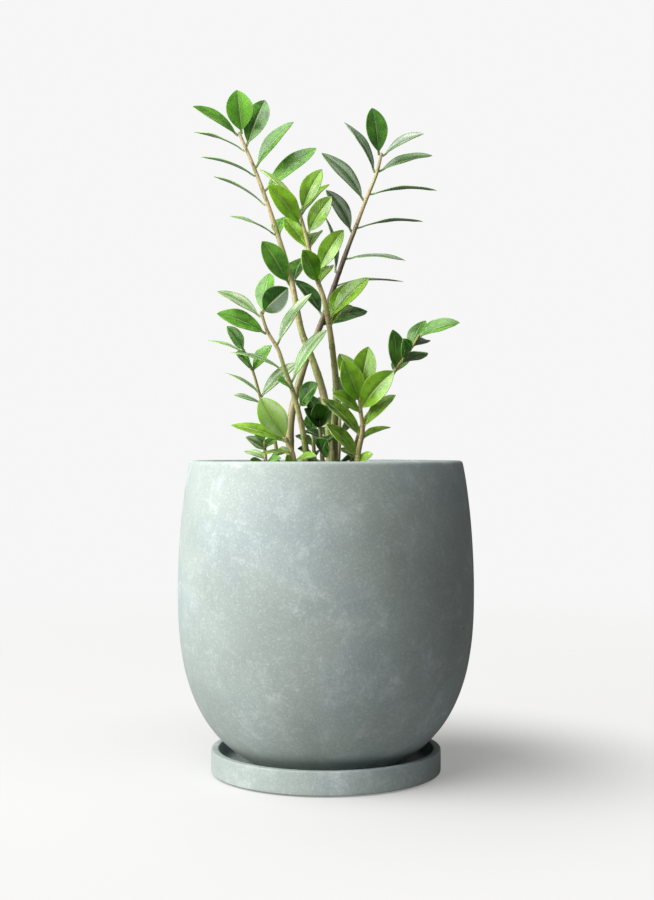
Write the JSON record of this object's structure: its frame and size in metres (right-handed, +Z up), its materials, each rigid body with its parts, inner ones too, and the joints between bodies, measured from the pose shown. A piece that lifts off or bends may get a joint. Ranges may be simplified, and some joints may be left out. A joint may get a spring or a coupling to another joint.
{
  "type": "potted zz plant",
  "caption": "ZZ plant with glossy pinnate leaves on upright stems, in a round-bellied cement pot that stands on a shallow matching saucer.",
  "frame": {"origin": "bottom centre: the pot's axis, on the surface that the foot pads stand on", "axes": "+Z up the plant, -Y towards the viewer's front, +X to the right seen from the front"},
  "size_m": [0.2954, 0.2954, 0.6836],
  "materials": {
    "cement": "matt grey-green cement with pale cloudy bloom, specks and pinholes",
    "soil": null,
    "pad_rubber": "matt black foot pads",
    "stem": "smooth tan-green stalk with brown flecks and rings",
    "leaf_green": "waxy mid green leaf, paler midrib and underside",
    "leaf_dark": "waxy dark green leaf, paler midrib and underside",
    "leaf_bright": "waxy young yellow-green leaf, paler midrib and underside"
  },
  "bodies": {
    "root": {"saucer": "cement", "pot": "cement", "soil": "soil", "foot_pad_1": "pad_rubber", "foot_pad_2": "pad_rubber", "foot_pad_3": "pad_rubber", "left_stem": "stem", "left_leaf_01": "leaf_green", "left_leaf_02": "leaf_green", "left_leaf_03": "leaf_green", "left_leaf_04": "leaf_green", "left_leaf_05": "leaf_green", "left_leaf_06": "leaf_green", "left_leaf_07": "leaf_green", "left_leaf_08": "leaf_green", "left_leaf_09": "leaf_green", "left_leaf_10": "leaf_green", "left_leaf_11": "leaf_green", "left_leaf_12": "leaf_green", "right_stem": "stem", "right_leaf_01": "leaf_dark", "right_leaf_02": "leaf_dark", "right_leaf_03": "leaf_dark", "right_leaf_04": "leaf_dark", "right_leaf_05": "leaf_dark", "right_leaf_06": "leaf_dark", "right_leaf_07": "leaf_dark", "right_leaf_08": "leaf_dark", "right_leaf_09": "leaf_dark", "right_leaf_10": "leaf_dark", "right_leaf_11": "leaf_dark", "middle_stem": "stem", "middle_leaf_01": "leaf_bright", "middle_leaf_02": "leaf_bright", "middle_leaf_03": "leaf_bright", "middle_leaf_04": "leaf_bright", "middle_leaf_05": "leaf_bright", "middle_leaf_06": "leaf_bright", "middle_leaf_07": "leaf_bright", "middle_leaf_08": "leaf_bright", "middle_leaf_09": "leaf_bright", "middle_leaf_10": "leaf_bright", "middle_leaf_11": "leaf_bright", "lower_stem": "stem", "lower_leaf_01": "leaf_green", "lower_leaf_02": "leaf_green", "lower_leaf_03": "leaf_green", "lower_leaf_04": "leaf_green", "lower_leaf_05": "leaf_green", "lower_leaf_06": "leaf_green", "lower_leaf_07": "leaf_green", "lower_leaf_08": "leaf_green", "front_shoot": "leaf_bright", "curved_shoot": "leaf_green", "pale_shoot": "leaf_green", "sprout_shoot": "leaf_green", "centre_shoot": "leaf_dark", "bright_shoot": "leaf_bright", "back_shoot": "leaf_green", "tuft_shoot": "leaf_dark"}
  },
  "joints": []
}
